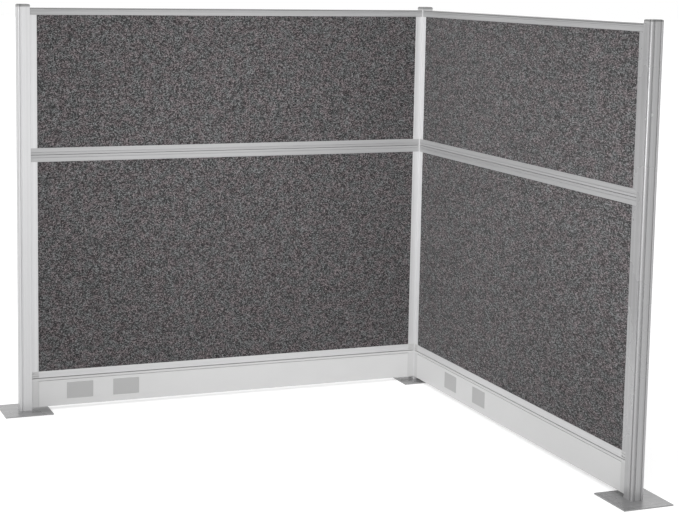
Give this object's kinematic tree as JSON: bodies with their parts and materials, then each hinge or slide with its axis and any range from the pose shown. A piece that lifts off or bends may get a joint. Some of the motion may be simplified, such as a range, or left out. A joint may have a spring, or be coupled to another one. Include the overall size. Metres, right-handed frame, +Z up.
{
  "type": "cubicle workstation wall",
  "caption": "L-shaped pair of framed, fabric-faced cubicle walls on a corner post, each with a stacked upper frame and a powered base raceway, standing on flat steel feet.",
  "frame": {"origin": "on the floor, in the middle of the square that the two walls and their foot plates enclose", "axes": "+Z up; the back wall runs along X at +Y and the side wall along Y at +X; the inside of the L faces -X and -Y"},
  "size_m": [2.032, 2.032, 1.7175],
  "materials": {
    "post_aluminium": "satin silver anodised extrusion",
    "frame_aluminium": "satin silver anodised extrusion",
    "cap_enamel": "silver grey satin paint on a die casting",
    "foot_steel": "brushed, lightly reflective",
    "speckled_fabric": "dark charcoal weave with light and dark specks",
    "core_board": "plain fibreboard",
    "raceway_enamel": "light silver grey powder coat",
    "blank_plastic": "mid grey moulded",
    "end_block_plastic": "grey moulded",
    "power_module": "black moulded",
    "zinc_steel": "zinc plated"
  },
  "bodies": {
    "wall_frame": {"back_lower_bottom_rail": "frame_aluminium", "back_lower_inner_fabric_pad": "speckled_fabric", "back_lower_left_stile": "frame_aluminium", "back_lower_outer_fabric_pad": "speckled_fabric", "back_lower_right_stile": "frame_aluminium", "back_lower_top_rail": "frame_aluminium", "back_power_harness": "power_module", "back_raceway_chassis": "raceway_enamel", "back_upper_bottom_rail": "frame_aluminium", "back_upper_inner_fabric_pad": "speckled_fabric", "back_upper_left_stile": "frame_aluminium", "back_upper_outer_fabric_pad": "speckled_fabric", "back_upper_right_stile": "frame_aluminium", "back_upper_top_rail": "frame_aluminium", "corner_foot_plate": "foot_steel", "corner_post": "post_aluminium", "cover_clips": "zinc_steel", "foot_screws": "zinc_steel", "frame_corner_keys": "zinc_steel", "joining_tongues": "zinc_steel", "left_foot_plate": "foot_steel", "left_post": "post_aluminium", "lower_core_boards": "core_board", "raceway_bracket_screws": "zinc_steel", "raceway_end_brackets": "raceway_enamel", "raceway_hanger_screws": "zinc_steel", "rail_end_blocks": "end_block_plastic", "right_foot_plate": "foot_steel", "right_post": "post_aluminium", "side_lower_bottom_rail": "frame_aluminium", "side_lower_inner_fabric_pad": "speckled_fabric", "side_lower_left_stile": "frame_aluminium", "side_lower_outer_fabric_pad": "speckled_fabric", "side_lower_right_stile": "frame_aluminium", "side_lower_top_rail": "frame_aluminium", "side_power_harness": "power_module", "side_raceway_chassis": "raceway_enamel", "side_upper_bottom_rail": "frame_aluminium", "side_upper_inner_fabric_pad": "speckled_fabric", "side_upper_left_stile": "frame_aluminium", "side_upper_outer_fabric_pad": "speckled_fabric", "side_upper_right_stile": "frame_aluminium", "side_upper_top_rail": "frame_aluminium", "upper_core_boards": "core_board"},
    "left_cap": {"left_post_cap": "cap_enamel"},
    "corner_cap": {"corner_post_cap": "cap_enamel"},
    "right_cap": {"right_post_cap": "cap_enamel"},
    "back_inner_cover": {"back_inner_cover": "raceway_enamel"},
    "back_inner_blank_1": {"back_inner_blank_1": "blank_plastic"},
    "back_inner_blank_2": {"back_inner_blank_2": "blank_plastic"},
    "back_outer_cover": {"back_outer_cover": "raceway_enamel"},
    "back_outer_blank_1": {"back_outer_blank_1": "blank_plastic"},
    "back_outer_blank_2": {"back_outer_blank_2": "blank_plastic"},
    "side_inner_cover": {"side_inner_cover": "raceway_enamel"},
    "side_inner_blank_1": {"side_inner_blank_1": "blank_plastic"},
    "side_inner_blank_2": {"side_inner_blank_2": "blank_plastic"},
    "side_outer_cover": {"side_outer_cover": "raceway_enamel"},
    "side_outer_blank_1": {"side_outer_blank_1": "blank_plastic"},
    "side_outer_blank_2": {"side_outer_blank_2": "blank_plastic"}
  },
  "joints": [
    {"name": "left_cap_lift", "type": "slide", "parent": "wall_frame", "child": "left_cap", "axis": [0, 0, 1], "range_m": [0, 0.025]},
    {"name": "corner_cap_lift", "type": "slide", "parent": "wall_frame", "child": "corner_cap", "axis": [0, 0, 1], "range_m": [0, 0.025]},
    {"name": "right_cap_lift", "type": "slide", "parent": "wall_frame", "child": "right_cap", "axis": [0, 0, 1], "range_m": [0, 0.025]},
    {"name": "back_inner_cover_pull", "type": "slide", "parent": "wall_frame", "child": "back_inner_cover", "axis": [0, -1, 0], "range_m": [0, 0.025]},
    {"name": "back_inner_blank_1_pull", "type": "slide", "parent": "back_inner_cover", "child": "back_inner_blank_1", "axis": [0, -1, 0], "range_m": [0, 0.012]},
    {"name": "back_inner_blank_2_pull", "type": "slide", "parent": "back_inner_cover", "child": "back_inner_blank_2", "axis": [0, -1, 0], "range_m": [0, 0.012]},
    {"name": "back_outer_cover_pull", "type": "slide", "parent": "wall_frame", "child": "back_outer_cover", "axis": [0, 1, 0], "range_m": [0, 0.025]},
    {"name": "back_outer_blank_1_pull", "type": "slide", "parent": "back_outer_cover", "child": "back_outer_blank_1", "axis": [0, 1, 0], "range_m": [0, 0.012]},
    {"name": "back_outer_blank_2_pull", "type": "slide", "parent": "back_outer_cover", "child": "back_outer_blank_2", "axis": [0, 1, 0], "range_m": [0, 0.012]},
    {"name": "side_inner_cover_pull", "type": "slide", "parent": "wall_frame", "child": "side_inner_cover", "axis": [-1, 0, 0], "range_m": [0, 0.025]},
    {"name": "side_inner_blank_1_pull", "type": "slide", "parent": "side_inner_cover", "child": "side_inner_blank_1", "axis": [-1, 0, 0], "range_m": [0, 0.012]},
    {"name": "side_inner_blank_2_pull", "type": "slide", "parent": "side_inner_cover", "child": "side_inner_blank_2", "axis": [-1, 0, 0], "range_m": [0, 0.012]},
    {"name": "side_outer_cover_pull", "type": "slide", "parent": "wall_frame", "child": "side_outer_cover", "axis": [1, 0, 0], "range_m": [0, 0.025]},
    {"name": "side_outer_blank_1_pull", "type": "slide", "parent": "side_outer_cover", "child": "side_outer_blank_1", "axis": [1, 0, 0], "range_m": [0, 0.012]},
    {"name": "side_outer_blank_2_pull", "type": "slide", "parent": "side_outer_cover", "child": "side_outer_blank_2", "axis": [1, 0, 0], "range_m": [0, 0.012]}
  ]
}
